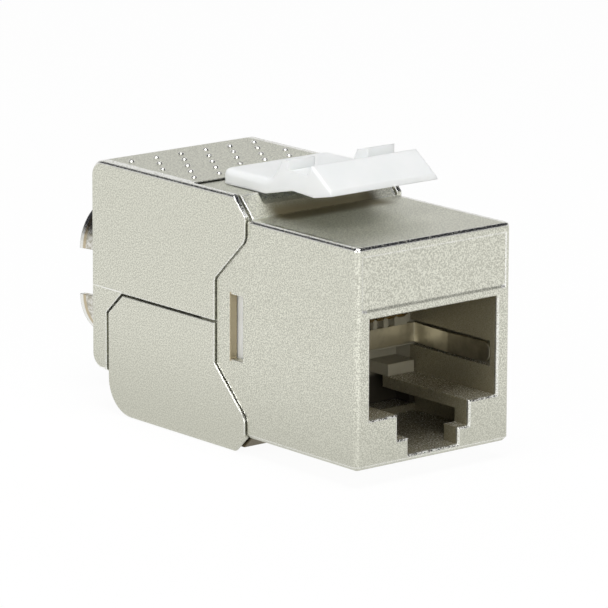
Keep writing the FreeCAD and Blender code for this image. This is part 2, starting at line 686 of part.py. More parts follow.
def make_latch():
    """Moulded latch: root on the block, free arm with its ramp and two catch lugs."""
    body = new_body("latch")
    arch_front = "latch_back - latch_root_length - latch_arch_length"
    lug_back = "latch_lug_front + latch_lug_length"
    notch_front = "latch_ramp_back + latch_notch_slope"
    slope_foot = f"{lug_back} + latch_lug_slope"
    side = new_sketch(body, "YZ_Plane")
    draw_outline(side, [
        ("latch_back", "latch_base"),
        ("latch_back - latch_root_length", "latch_base"),
        (arch_front, "block_top + latch_arch_rise"),
        ("latch_front + latch_lip_length", "latch_lip - latch_lip_height"),
        ("latch_front", "latch_lip"),
        ("latch_front + latch_lip_height / 2", "latch_lip + latch_lip_height"),
        ("latch_ramp_back", "latch_ramp_top"),
        (notch_front, "latch_notch_floor"),
        ("latch_lug_front", "latch_notch_floor"),
        ("latch_lug_front", "latch_ramp_top"),
        (lug_back, "latch_ramp_top - latch_lug_fall"),
        (slope_foot, "latch_root_top"),
        ("latch_back", "latch_root_top"),
    ])
    pad(body, side, "latch_width", both_ways=True)
    half = value_of("latch_width / 2")
    back = value_of("latch_back")
    dress(body, "Fillet", "latch_corner_round",
          lambda low, high, edge: near(low.y, back) and near(high.y, back) and near(low.x, high.x))
    round_corner(body, "latch_lug_round", slope_foot, "latch_root_top")
    top = value_of("latch_root_top")
    dress(body, "Fillet", "latch_root_round",
          lambda low, high, edge: near(low.z, top) and near(high.z, top) and near(high.y, back))
    round_corner(body, "latch_lug_round", "latch_back - latch_root_length", "latch_base")
    round_corner(body, "latch_lug_round", arch_front, "block_top + latch_arch_rise")
    gap = new_sketch(body, "YZ_Plane")
    valley_back = "latch_root_top + latch_lug_fall * 1.5"
    draw_outline(gap, [
        (notch_front, "latch_notch_floor - latch_lift"), (slope_foot, valley_back),
        (slope_foot, "latch_ramp_top + overcut"), (notch_front, "latch_ramp_top + overcut"),
    ])
    pocket(body, gap, "latch_lug_gap", both_ways=True)
    lip = value_of("latch_lip + latch_lip_height")
    ramp_top = value_of("latch_ramp_top")
    ramp_back = value_of("latch_ramp_back")
    dress(body, "Fillet", "latch_edge_round",
          lambda low, high, edge: high.y <= ramp_back + 1e-4 and low.z >= lip - 1e-4
          and high.z <= ramp_top + 1e-4 and not near(low.y, ramp_back))
    foot = new_sketch(body, "XY_Plane", "latch_base + 0.1")
    draw_rectangle(foot, "-latch_foot_width / 2", "latch_foot_width / 2",
                   "latch_pivot - latch_foot_length / 2", "latch_pivot + latch_foot_length / 2")
    pad(body, foot, "latch_foot_depth + 0.1", forward=False)


def add_pivots(body, height):
    """The two pivots cast on the inner faces of a wing's ears."""
    for side, forward in (("", False), ("-", True)):
        sketch = new_sketch(body, "YZ_Plane", f"{side}wing_gap_width / 2")
        draw_circle(sketch, "pivot_back", height, "pivot_radius")
        pad(body, sketch, "pivot_length", forward=forward)


def add_studs(body):
    """Rows of low grip studs on the wing's top, alternately long and short."""
    rows = [(2 * (LONG_ROWS - 1), LONG_ROWS, STUDS_LONG_ROW),
            (2 * (LONG_ROWS - 1) - 1, LONG_ROWS - 1, STUDS_LONG_ROW - 1)]
    for rows_forward, row_count, stud_count in rows:
        middle = f"(-stud_pitch * {(stud_count - 1) / 2})"
        first_row = f"(stud_last_row - {rows_forward} * stud_row_pitch)"
        sections = []
        for height, radius in (("-0.1", "stud_radius"), ("stud_height * 0.6", "stud_radius * 0.8"),
                               ("stud_height", "stud_radius * 0.35")):
            section = new_sketch(body, "XY_Plane", f"wing_top + {height}")
            draw_polygon(section, middle, first_row, radius, STUD_SIDES)
            section.Visibility = False
            sections.append(section)
        stud = body.newObject("PartDesign::AdditiveLoft", f"{body.Label}_stud")
        stud.Profile = sections[0]
        stud.Sections = sections[1:]
        stud.Ruled = True
        doc.recompute()
        across = doc.addObject("PartDesign::LinearPattern", f"{body.Label}_across")
        across.Direction = (sections[0], ["H_Axis"])
        across.Occurrences = stud_count
        across.setExpression("Length", bound(f"stud_pitch * {stud_count - 1}"))
        along = doc.addObject("PartDesign::LinearPattern", f"{body.Label}_along")
        along.Direction = (sections[0], ["V_Axis"])
        along.Occurrences = row_count
        along.setExpression("Length", bound(f"stud_row_pitch * {2 * (row_count - 1)}"))
        both = body.newObject("PartDesign::MultiTransform", f"{body.Label}_studs")
        both.Originals = [stud]
        both.Transformations = [across, along]
        body.Tip = both
        doc.recompute()


def round_side_edges(body, height):
    """Round the two long edges between a wing's plate and its sides."""
    place = value_of(height)
    half = value_of("wing_width / 2")
    dress(body, "Fillet", "wing_edge_round",
          lambda low, high, edge: near(low.z, place) and near(high.z, place)
          and near(abs(low.x), half) and near(abs(high.x), half))


def hollow_wing(body, outside, inside, upward, back):
    """Open the gap between a wing's ears and the tray behind them, and rib its plate."""
    beyond = f"{outside} {'-' if upward else '+'} overcut"
    open_end = "wing_top + overcut" if upward else "-wing_drop - overcut"
    gap = new_sketch(body, "YZ_Plane")
    draw_outline(gap, [
        ("wing_front - overcut", open_end), ("plate_front + plate_bevel", open_end),
        ("plate_front + plate_bevel", inside), ("plate_front", outside),
        ("plate_front", beyond), ("wing_front - overcut", beyond),
    ])
    pocket(body, gap, "wing_gap_width", both_ways=True)
    tray = new_sketch(body, "XY_Plane", inside)
    draw_rectangle(tray, "-wing_width / 2 + wing_wall", "wing_width / 2 - wing_wall",
                   "plate_front", back)
    pocket(body, tray, "wing_top + wing_drop", forward=upward)


def add_ribs(body, inside, manager_face, upward):
    """Three ribs on the plate's inner face, which hold the wire manager down."""
    ribs = new_sketch(body, "XY_Plane", inside)
    for middle in ("-blade_pitch", "0", "blade_pitch"):
        draw_rectangle(ribs, f"{middle} - rib_thickness / 2", f"{middle} + rib_thickness / 2",
                       "manager_front", "manager_back")
    reach = f"abs({manager_face} - ({inside})) - rib_clearance"
    pad(body, ribs, reach, forward=upward)


def make_upper_wing():
    """Zinc casting: upper half of the rear shell, with ears, studs and rear legs."""
    body = new_body("upper_wing")
    side = new_sketch(body, "YZ_Plane")
    seam = "seam_height + seam_gap / 2"
    leg_front = "tail_back + tail_gap"
    draw_outline(side, [
        ("wing_front + shoulder_chamfer", "wing_top"),
        ("wing_front", "ear_top_turn"),
        ("wing_front", "upper_ear_turn"),
        ("ear_back", "upper_ear_end"),
        ("ear_back", seam),
        ("seam_back + tail_gap", seam),
        (leg_front, "tail_height + seam_gap / 2"),
        (leg_front, "leg_foot"),
        ("wing_back", "leg_foot"),
        ("wing_back", "wing_top"),
    ])
    pad(body, side, "wing_width", both_ways=True)
    round_corner(body, "wing_top_back_round", "wing_back", "wing_top")
    round_corner(body, "wing_foot_round", "wing_back", "leg_foot")
    round_corner(body, "ear_round", "wing_front", "upper_ear_turn")
    round_corner(body, "ear_round / 2", "ear_back", "upper_ear_end")
    round_side_edges(body, "wing_top")
    plate_inside = "wing_top - wing_wall"
    hollow_wing(body, "wing_top", plate_inside, False, "wing_back - rear_wall")
    add_ribs(body, plate_inside, "manager_high", False)
    arch = new_sketch(body, "XZ_Plane", "wing_back")
    draw_circle(arch, "0", "upper_clamp_edge", "clamp_radius + clamp_play")
    pocket(body, arch, "rear_wall * 2", forward=False)
    legs = new_sketch(body, "XZ_Plane", "wing_back")
    half_gap = "(clamp_radius + leg_play)"
    draw_rectangle(legs, "-" + half_gap, half_gap, "leg_foot - overcut", "upper_clamp_edge")
    pocket(body, legs, "rear_wall * 3", forward=False)
    add_pivots(body, "upper_pivot")
    add_studs(body)


def make_lower_wing():
    """Zinc casting: lower half of the rear shell, which the jack rests on."""
    body = new_body("lower_wing")
    side = new_sketch(body, "YZ_Plane")
    seam = "seam_height - seam_gap / 2"
    draw_outline(side, [
        ("ear_back", seam),
        ("ear_back", "lower_ear_end"),
        ("wing_front", "lower_ear_turn"),
        ("wing_front", "0"),
        ("wing_front + lower_wing_chamfer", "-wing_drop"),
        ("tail_back", "-wing_drop"),
        ("tail_back", "tail_height - seam_gap / 2"),
        ("seam_back - tail_gap / 2", seam),
    ])
    pad(body, side, "wing_width", both_ways=True)
    round_corner(body, "lower_back_round", "tail_back", "-wing_drop")
    round_corner(body, "ear_round", "wing_front", "lower_ear_turn")
    round_side_edges(body, "-wing_drop")
    plate_inside = "-wing_drop + wing_wall"
    hollow_wing(body, "-wing_drop", plate_inside, True, "tail_back - rear_wall")
    add_ribs(body, plate_inside, "manager_low", True)
    arch = new_sketch(body, "XZ_Plane", "tail_back")
    draw_circle(arch, "0", "lower_clamp_edge", "clamp_radius + clamp_play")
    pocket(body, arch, "rear_wall * 2", forward=False)
    mouth = new_sketch(body, "XZ_Plane", "tail_back")
    half_gap = "(clamp_radius + clamp_play)"
    draw_rectangle(mouth, "-" + half_gap, half_gap, "lower_clamp_edge", "seam_height + overcut")
    pocket(body, mouth, "rear_wall * 2", forward=False)
    add_pivots(body, "lower_pivot")


def make_clamp(label, edge, front, upward):
    """Stamped and plated trough with a flared rim, inner teeth and a flange in its wing."""
    body = new_body(label)
    sign = "+" if upward else "-"
    flange = new_sketch(body, "XZ_Plane", front)
    draw_rectangle(flange, "-clamp_flange_width / 2", "clamp_flange_width / 2",
                   edge, f"{edge} {sign} clamp_flange_height")
    pad(body, flange, "clamp_wall")
    window = new_sketch(body, "XZ_Plane", front)
    draw_circle(window, "0", edge, "cable_radius")
    pocket(body, window, "clamp_wall")
    flare_start = "clamp_back - clamp_flare_length"
    profile = [(front, "clamp_radius"), (flare_start, "clamp_radius"),
               ("clamp_back", "clamp_radius + clamp_flare"),
               ("clamp_back", "cable_radius + clamp_flare"),
               (flare_start, "cable_radius")]
    for index in range(CLAMP_TEETH):
        tooth = f"({flare_start} - tooth_pitch * {index + 0.5})"
        profile += [(f"{tooth} + tooth_width / 2", "cable_radius"),
                    (tooth, "cable_radius - tooth_height"),
                    (f"{tooth} - tooth_width / 2", "cable_radius")]
    profile.append((front, "cable_radius"))
    section = new_sketch(body, "YZ_Plane")
    draw_outline(section, [(y, f"{edge} {sign} ({radius})") for y, radius in profile])
    axis = section.addGeometry(Part.LineSegment(
        FreeCAD.Vector(value_of(front), value_of(edge), 0),
        FreeCAD.Vector(value_of("clamp_back"), value_of(edge), 0)), True)
    for end, place in ((1, front), (2, "clamp_back")):
        bind(section, Sketcher.Constraint("DistanceX", -1, 1, axis, end, value_of(place)), place)
        bind(section, Sketcher.Constraint("DistanceY", -1, 1, axis, end, value_of(edge)), edge)
    trough = body.newObject("PartDesign::Revolution", f"{label}_trough")
    trough.Profile = section
    trough.ReferenceAxis = (section, ["Axis0"])
    trough.Angle = 180
    trough.Midplane = True
    doc.recompute()


def build_all():
    fill_sheet()
    make_front_body()
    make_shield_band()
    make_contact_carrier()
    for index in range(CONTACTS):
        make_contact(index)
    make_circuit_board()
    make_punch_block()
    for number, middle, height in blade_places():
        make_blade(number, middle, height)
    make_wire_manager()
    make_latch()
    make_upper_wing()
    make_lower_wing()
    make_clamp("upper_cable_clamp", "upper_clamp_edge", "wing_back - rear_wall - clamp_wall", True)
    make_clamp("lower_cable_clamp", "lower_clamp_edge", "tail_back - rear_wall - clamp_wall", False)


def check_and_write():
    """Stop on any failed feature or bad shape, then write one file for each piece."""
    doc.recompute()
    for item in doc.Objects:
        if "Invalid" in item.State or "Error" in item.State:
            raise RuntimeError(f"{item.Name} failed: {item.State}")
    bodies = [item for item in doc.Objects if item.TypeId == "PartDesign::Body"]
    for body in bodies:
        if body.Shape.isNull() or not body.Shape.isValid() or len(body.Shape.Solids) != 1:
            raise RuntimeError(f"{body.Label} is not one valid solid")
    os.makedirs("parts", exist_ok=True)
    for body in bodies:
        body.Shape.exportStep(f"parts/{body.Label}.step")


build_all()
check_and_write()
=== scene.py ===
import math

import bpy
from mathutils import Matrix, Vector


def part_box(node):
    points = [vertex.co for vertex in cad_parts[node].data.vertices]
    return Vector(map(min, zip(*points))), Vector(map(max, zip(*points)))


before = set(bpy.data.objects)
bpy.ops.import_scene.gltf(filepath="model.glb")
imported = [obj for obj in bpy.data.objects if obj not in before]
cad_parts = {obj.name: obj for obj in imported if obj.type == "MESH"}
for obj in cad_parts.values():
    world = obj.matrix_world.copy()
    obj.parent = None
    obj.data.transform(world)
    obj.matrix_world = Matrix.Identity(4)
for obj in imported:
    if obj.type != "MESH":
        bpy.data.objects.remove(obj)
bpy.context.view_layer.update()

bpy.ops.object.select_all(action="DESELECT")

# ---------------------------------------------------------------- camera
# A long lens looks down a little on the left flank and the port. It stands over a third of
# a metre away, so that parallel edges stay nearly parallel.

MM = 0.001
CAMERA_TURN = math.radians(-39.61)
CAMERA_RISE = math.radians(13.19)
CAMERA_ROLL = math.radians(0.22)
CAMERA_DISTANCE = 365.7 * MM
CAMERA_AIM = Vector((0.0, -2.95, 9.49)) * MM
CAMERA_SIDESTEP = 0.536 * MM
CAMERA_STEP_UP = 0.134 * MM
CAMERA_LENS = 294.2
CAMERA_NEAREST = 0.01


def place_camera():
    back = Vector((math.sin(CAMERA_TURN) * math.cos(CAMERA_RISE),
                   -math.cos(CAMERA_TURN) * math.cos(CAMERA_RISE),
                   math.sin(CAMERA_RISE)))
    level_right = (-back).cross(Vector((0, 0, 1))).normalized()
    level_up = level_right.cross(-back)
    right = level_right * math.cos(CAMERA_ROLL) + level_up * math.sin(CAMERA_ROLL)
    up = level_up * math.cos(CAMERA_ROLL) - level_right * math.sin(CAMERA_ROLL)
    place = CAMERA_AIM + back * CAMERA_DISTANCE + right * CAMERA_SIDESTEP + up * CAMERA_STEP_UP
    lens = bpy.data.cameras.new("camera")
    lens.lens = CAMERA_LENS
    lens.clip_start = CAMERA_NEAREST
    camera = bpy.data.objects.new("camera", lens)
    camera.matrix_world = Matrix((
        (right.x, up.x, back.x, place.x),
        (right.y, up.y, back.y, place.y),
        (right.z, up.z, back.z, place.z),
        (0, 0, 0, 1)))
    bpy.context.scene.collection.objects.link(camera)
    bpy.context.scene.camera = camera


place_camera()

# ---------------------------------------------------------------- studio
# A white table runs up into a white sweep that stands highest behind the jack. The room
# above is dim, with soft lamps overhead, at the left and in front, so rubbed edges show dark.

bpy.context.scene.view_settings.view_transform = "Standard"

SWEEP_SIDE = (0.30, 0.75, -0.55)
SWEEP_WHITE = (0.80, 0.80, 0.79, 1)
ROOM_DIM = (0.035, 0.035, 0.04, 1)
TABLE_WHITE = (0.88, 0.88, 0.87, 1)
TABLE_DROP = 0.05 * MM
TABLE_GLOW = 1.015
TABLE_GLOW_SHARE = 0.93


def calculate(tree, operation, a, b=None, clamp=False):
    """The result of a sum on one or two values, each a number or a socket."""
    node = tree.nodes.new("ShaderNodeMath")
    node.operation = operation
    node.use_clamp = clamp
    for value, socket in zip((a, b), node.inputs):
        if isinstance(value, float):
            socket.default_value = value
        elif value is not None:
            tree.links.new(value, socket)
    return node.outputs[0]


def product(tree, *values):
    result = values[0]
    for value in values[1:]:
        result = calculate(tree, "MULTIPLY", result, value)
    return result


def range_of(tree, value, low, high, to_low=0.0, to_high=1.0):
    """Value carried softly from the range low to high onto the range to_low to to_high."""
    node = tree.nodes.new("ShaderNodeMapRange")
    node.interpolation_type = "SMOOTHSTEP"
    node.inputs["From Min"].default_value = low
    node.inputs["From Max"].default_value = high
    node.inputs["To Min"].default_value = to_low
    node.inputs["To Max"].default_value = to_high
    tree.links.new(value, node.inputs["Value"])
    return node.outputs["Result"]


def dot_of(tree, a, b):
    node = tree.nodes.new("ShaderNodeVectorMath")
    node.operation = "DOT_PRODUCT"
    tree.links.new(a, node.inputs[0])
    if isinstance(b, tuple):
        node.inputs[1].default_value = b
    else:
        tree.links.new(b, node.inputs[1])
    return node.outputs["Value"]


def split_of(tree, vector):
    node = tree.nodes.new("ShaderNodeSeparateXYZ")
    tree.links.new(vector, node.inputs[0])
    return node.outputs


def mix_by(tree, factor, a, b):
    """A colour or a number that goes from a to b with factor. Two sockets count as colours."""
    node = tree.nodes.new("ShaderNodeMix")
    is_number = isinstance(a, float) or isinstance(b, float)
    node.data_type = "FLOAT" if is_number else "RGBA"
    node.clamp_factor = True
    from_slot, to_slot, out_slot = (2, 3, 0) if is_number else (6, 7, 2)
    tree.links.new(factor, node.inputs[0])
    for value, slot in ((a, from_slot), (b, to_slot)):
        if isinstance(value, (float, tuple)):
            node.inputs[slot].default_value = value
        else:
            tree.links.new(value, node.inputs[slot])
    return node.outputs[out_slot]


def mix_shaders(tree, share, first, second, output):
    node = tree.nodes.new("ShaderNodeMixShader")
    tree.links.new(share, node.inputs[0])
    tree.links.new(first.outputs[0], node.inputs[1])
    tree.links.new(second.outputs[0], node.inputs[2])
    tree.links.new(node.outputs[0], tree.nodes[output].inputs["Surface"])


def light_room():
    world = bpy.data.worlds.new("studio")
    world.use_nodes = True
    tree = world.node_tree
    sweep = tree.nodes["Background"]
    direction = tree.nodes.new("ShaderNodeTexCoord").outputs["Generated"]
    x, _, z = split_of(tree, direction)
    behind = range_of(tree, dot_of(tree, direction, SWEEP_SIDE), 0.15, 0.21)
    right = range_of(tree, x, -0.16, 0.0)
    low = range_of(tree, z, 0.46, 0.10)
    white = calculate(tree, "MAXIMUM", product(tree, behind, right), low)
    tree.links.new(mix_by(tree, white, ROOM_DIM, SWEEP_WHITE), sweep.inputs["Color"])
    plain = tree.nodes.new("ShaderNodeBackground")
    plain.inputs["Color"].default_value = (1, 1, 1, 1)
    path = tree.nodes.new("ShaderNodeLightPath")
    mix_shaders(tree, path.outputs["Is Camera Ray"], sweep, plain, "World Output")
    bpy.context.scene.world = world


def soft_lamp(name, place, power, size):
    light = bpy.data.lights.new(name, "AREA")
    light.energy = power
    light.size = size
    lamp = bpy.data.objects.new(name, light)
    lamp.location = place
    lamp.rotation_euler = (-Vector(place)).to_track_quat("-Z", "Y").to_euler()
    bpy.context.scene.collection.objects.link(lamp)


def new_material(name):
    """An empty material, its node tree and its surface shader."""
    material = bpy.data.materials.new(name)
    material.use_nodes = True
    return material, material.node_tree, material.node_tree.nodes["Principled BSDF"]


def lay_floor():
    bpy.ops.mesh.primitive_plane_add(size=2.0, location=(0, 0, -TABLE_DROP))
    floor = bpy.context.object
    floor.name = "floor"
    material, tree, surface = new_material("white_table")
    surface.inputs["Base Color"].default_value = TABLE_WHITE
    surface.inputs["Roughness"].default_value = 0.8
    glow = tree.nodes.new("ShaderNodeEmission")
    glow.inputs["Strength"].default_value = TABLE_GLOW
    path = tree.nodes.new("ShaderNodeLightPath")
    seen = calculate(tree, "ADD", path.outputs["Is Camera Ray"], path.outputs["Is Glossy Ray"],
                     clamp=True)
    share = calculate(tree, "MULTIPLY", seen, TABLE_GLOW_SHARE)
    mix_shaders(tree, share, surface, glow, "Material Output")
    floor.data.materials.append(material)
    floor.select_set(False)


light_room()
soft_lamp("overhead_softbox", (-0.05, -0.1, 0.55), 2.05, 0.35)
soft_lamp("left_softbox", (-0.5, -0.02, 0.25), 0.85, 0.35)
soft_lamp("front_softbox", (-0.22, -0.5, 0.16), 0.65, 0.3)
lay_floor()

# ---------------------------------------------------------------- nose casting
# The nose is a zinc die casting, shot-blasted and plated with satin nickel. The blasting
# leaves a fine grain, handling polishes the edges, and the plating is dull inside the port, where
# its colour is also darkened with painted shade.

NICKEL_LIGHT = (0.83, 0.83, 0.73, 1)
NICKEL_DARK = (0.52, 0.52, 0.445, 1)
NICKEL_PITS_AND_PAINTED_SHADE = (0.42, 0.42, 0.35, 1)
NICKEL_EDGE = (0.97, 0.97, 0.94, 1)
NICKEL_PAINTED_GLINT = (0.93, 0.93, 0.88, 1)
NICKEL_SHADE = (0.27, 0.235, 0.15, 1)
NICKEL_PORT_SHADE = (0.25, 0.225, 0.145, 1)
NICKEL_PORT_SHADE_PALE = (0.38, 0.345, 0.24, 1)
WINDOW_END_PAINTED_SHADE = (0.52, 0.45, 0.31, 1)
UNDER_EAR_PAINTED_SHADE = (0.12, 0.10, 0.06, 1)
GRAIN_SCALE = 10500
CLOUD_SCALE = 1500
PIT_SCALE = 9000
SPOT_SCALE = 8500
SPECK_SCALE = 7000
CLOUD_SHARE = 0.07
PIT_SHARE = 0.7
FOOT_PAINTED_SHADE_SHARE = 0.45
FOOT_PAINTED_SHADE_TOP = 8.5 * MM
ABOVE_FOOT = (1.45 * MM, 1.6 * MM)
RUBBED_RADIUS = 0.14 * MM
TOP_STRIP_SIDE = (6.62 * MM, 6.76 * MM)
TOP_STRIP_HEIGHT = (16.9 * MM, 17.2 * MM)


def noise_of(tree, place, scale, detail):
    node = tree.nodes.new("ShaderNodeTexNoise")
    node.inputs["Scale"].default_value = scale
    node.inputs["Detail"].default_value = detail
    tree.links.new(place, node.inputs["Vector"])
    return node.outputs["Fac"]


def inside_box(tree, place, low, high, soft):
    """One inside the box between two corners, falling to nothing over soft at its faces."""
    masks = []
    for value, least, most in zip(split_of(tree, place), low, high):
        masks.append(range_of(tree, value, least - soft, least))
        masks.append(range_of(tree, value, most + soft, most))
    return product(tree, *masks)


def rounded_edges(tree, radius):
    """The surface direction with every sharp edge rounded to the radius."""
    node = tree.nodes.new("ShaderNodeBevel")
    node.samples = 6
    node.inputs["Radius"].default_value = radius
    return node.outputs[0]


def add_relief(tree, surface, height, rounded, strength, distance):
    node = tree.nodes.new("ShaderNodeBump")
    for name, value in (("Strength", strength), ("Distance", distance)):
        if isinstance(value, float):
            node.inputs[name].default_value = value
        else:
            tree.links.new(value, node.inputs[name])
    tree.links.new(height, node.inputs["Height"])
    tree.links.new(rounded, node.inputs["Normal"])
    tree.links.new(node.outputs[0], surface.inputs["Normal"])


def blasted_colour(tree, place, grain, cloud):
    """Nickel with a fine grain, a few pits, and painted shade that darkens the foot."""
    colour = mix_by(tree, range_of(tree, grain, 0.42, 0.58), NICKEL_DARK, NICKEL_LIGHT)
    colour = mix_by(tree, range_of(tree, cloud, 0.35, 0.65, 0.0, CLOUD_SHARE), colour, NICKEL_DARK)
    # Painted shade: the colour darkens towards the bottom of the casting.
    low = range_of(tree, split_of(tree, place)[2], FOOT_PAINTED_SHADE_TOP, 0.0, 0.0, FOOT_PAINTED_SHADE_SHARE)
    colour = mix_by(tree, low, colour, NICKEL_PITS_AND_PAINTED_SHADE)
    pits = range_of(tree, noise_of(tree, place, PIT_SCALE, 1.0), 0.66, 0.73, 0.0, PIT_SHARE)
    return mix_by(tree, pits, colour, NICKEL_PITS_AND_PAINTED_SHADE)


def worn_edges(tree, rounded, facing):
    """One on sharp edges, and on the cast rounds between level and upright faces."""
    shape = tree.nodes.new("ShaderNodeNewGeometry")
    bend = dot_of(tree, rounded, shape.outputs["True Normal"])
    upward = calculate(tree, "ABSOLUTE", facing["Z"])
    slope = product(tree, range_of(tree, upward, 0.14, 0.30), range_of(tree, upward, 0.9995, 0.97))
    return calculate(tree, "MAXIMUM", range_of(tree, bend, 0.995, 0.9), slope)


def nickel_casting(name, port_dull_and_shade_box, mouth_box, painted_shades, parting_box, blasted_boxes):
    """Satin nickel with rubbed edges, but not in blasted_boxes. It is dull and darkened with
    painted shade in the port box, has painted glints on its edges in mouth_box, a painted highlight
    along parting_box, and painted shade of the given colour in each box of the painted shade list."""
    material, tree, surface = new_material(name)
    frame_of_part = tree.nodes.new("ShaderNodeTexCoord")
    place = frame_of_part.outputs["Object"]
    across, _, above = split_of(tree, place)
    facing = split_of(tree, frame_of_part.outputs["Normal"])
    grain = noise_of(tree, place, GRAIN_SCALE, 1.5)
    cloud = noise_of(tree, place, CLOUD_SCALE, 3.0)
    spots = noise_of(tree, place, SPOT_SCALE, 2.0)
    colour = blasted_colour(tree, place, grain, cloud)
    roughness = range_of(tree, grain, 0.35, 0.65, 0.36, 0.46)

    rounded = rounded_edges(tree, RUBBED_RADIUS)
    edge = worn_edges(tree, rounded, facing)
    top_strip = product(tree, range_of(tree, calculate(tree, "ABSOLUTE", across), *TOP_STRIP_SIDE),
                        range_of(tree, above, *TOP_STRIP_HEIGHT),
                        range_of(tree, facing["Z"], 0.85, 0.95))
    polished = calculate(tree, "MAXIMUM", edge, top_strip)
    mouth = inside_box(tree, place, *mouth_box, 0.05 * MM)
    bare = mix_by(tree, mouth, range_of(tree, spots, 0.38, 0.46), range_of(tree, spots, 0.50, 0.56))
    kept_blasted = [calculate(tree, "SUBTRACT", 1.0, inside_box(tree, place, *box, 0.05 * MM))
                    for box in blasted_boxes]
    rubbed = product(tree, polished, bare, range_of(tree, above, *ABOVE_FOOT), *kept_blasted)
    turned = range_of(tree, product(tree, facing["X"], facing["Y"]), 0.2, 0.4)
    rim = calculate(tree, "MAXIMUM", edge, turned)
    # Painted glints: bright, less metallic specks on the rough edges of the port's mouth.
    painted_glint = product(tree, rim, mouth, range_of(tree, spots, 0.54, 0.46))
    colour = mix_by(tree, rubbed, colour, NICKEL_EDGE)
    roughness = mix_by(tree, rubbed, roughness, 0.12)
    colour = mix_by(tree, painted_glint, colour, NICKEL_PAINTED_GLINT)

    # Painted highlight: a bright, broken line along the parting line of the casting.
    parting_painted_highlight = product(tree, inside_box(tree, place, *parting_box, 0.03 * MM),
                      range_of(tree, cloud, 0.3, 0.5, 0.35, 0.75))
    colour = mix_by(tree, parting_painted_highlight, colour, NICKEL_EDGE)
    # Painted shade: each listed box turns the colour to its own dark shade.
    for box, soft, painted_colour in painted_shades:
        colour = mix_by(tree, inside_box(tree, place, *box, soft), colour, painted_colour)
    # Painted shade: inside the port the nickel turns dark brown with pale specks, and it is also
    # duller.
    port_dull_and_shade = inside_box(tree, place, *port_dull_and_shade_box, 0.15 * MM)
    speck = range_of(tree, noise_of(tree, place, SPECK_SCALE, 3.0), 0.42, 0.66)
    colour = mix_by(tree, port_dull_and_shade, colour, mix_by(tree, speck, NICKEL_PORT_SHADE, NICKEL_PORT_SHADE_PALE))
    roughness = mix_by(tree, port_dull_and_shade, roughness, mix_by(tree, speck, 0.5, 0.24))
    # Painted glints: bright specks on the upward faces of the port's floor.
    port_floor_painted_glints = product(tree, port_dull_and_shade, range_of(tree, facing["Z"], 0.5, 0.9),
                      range_of(tree, spots, 0.55, 0.62))
    colour = mix_by(tree, port_floor_painted_glints, colour, NICKEL_PAINTED_GLINT)
    shoulder_share = inside_box(tree, place, *blasted_boxes[0], 0.3 * MM)
    metal = mix_by(tree, port_dull_and_shade, range_of(tree, shoulder_share, 0.0, 1.0, 1.0, 0.6), 0.45)
    tree.links.new(mix_by(tree, painted_glint, metal, 0.25), surface.inputs["Metallic"])

    tree.links.new(colour, surface.inputs["Base Color"])
    tree.links.new(roughness, surface.inputs["Roughness"])
    depth = mix_by(tree, port_dull_and_shade, mix_by(tree, rubbed, 0.012 * MM, 0.02 * MM), 0.028 * MM)
    add_relief(tree, surface, grain, rounded, mix_by(tree, rubbed, 0.4, 0.75), depth)
    return material


def dress_node(name, material):
    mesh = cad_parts[name].data
    mesh.materials.clear()
    mesh.materials.append(material)


nose_low, nose_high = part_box("front_body")
latch_low, latch_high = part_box("latch")
port = (Vector((-6.45 * MM, nose_low[1] + 0.35 * MM, 1.6 * MM)),
        Vector((6.45 * MM, nose_high[1] + MM, 15.6 * MM)))
# Painted shade on the nose top and the block's front under the latch.
under_latch_painted_shade = (Vector((latch_low[0] + 0.8 * MM, -7.3 * MM, 16.2 * MM)),
               Vector((latch_high[0] - 0.8 * MM, -5.6 * MM, 17.6 * MM)))
shoulder = (Vector((-6.6 * MM, -6.15 * MM, 17.5 * MM)), Vector((6.6 * MM, -4.8 * MM, 18.9 * MM)))
label = (Vector((-6.3 * MM, nose_low[1] - 0.1 * MM, 12.22 * MM)),
         Vector((6.3 * MM, nose_low[1] + 0.2 * MM, 12.9 * MM)))
seam = (Vector((-8 * MM, 8.6 * MM, 9.46 * MM)), Vector((8 * MM, 12.3 * MM, 9.52 * MM)))
mouth = (Vector((-6.3 * MM, nose_low[1] - 0.1 * MM, 1.5 * MM)),
         Vector((6.3 * MM, nose_low[1] + 0.3 * MM, 12.0 * MM)))
# Painted shade: a tan strip on the rear inner face of each side window.
window_end_painted_shade = (Vector((-8 * MM, -4.3 * MM, 6.7 * MM)), Vector((8 * MM, -4.12 * MM, 11.8 * MM)))
# Painted shade: dark brown on the low step under the ears at the nose's foot.
under_ear_painted_shade = (Vector((-6.94 * MM, -6.1 * MM, 0.1 * MM)), Vector((6.94 * MM, -4.4 * MM, 1.3 * MM)))
# Colours of painted shade, each with its box and softness.
painted_shades = ((under_latch_painted_shade, 1.4 * MM, NICKEL_SHADE),
         (window_end_painted_shade, 0.03 * MM, WINDOW_END_PAINTED_SHADE),
         (under_ear_painted_shade, 0.03 * MM, UNDER_EAR_PAINTED_SHADE))
nickel = nickel_casting("satin_nickel", port, mouth, painted_shades, seam, (shoulder, label))
dress_node("front_body", nickel)

# ---------------------------------------------------------------- wings
# The two wings are castings of the same zinc and finish, hinged on the nose by pivots
# cast in their ears. Rows of studs on the upper wing give the fingers a grip.

for name in ("upper_wing", "lower_wing"):
    dress_node(name, nickel)

# ---------------------------------------------------------------- latch
# The latch is one moulding of white nylon. Its foot sits in a slot of the block, and its
# arm bends down when the jack snaps into a panel.

NYLON = (0.91, 0.925, 0.92, 1)
NYLON_SHADE = (0.88, 0.90, 0.895, 1)


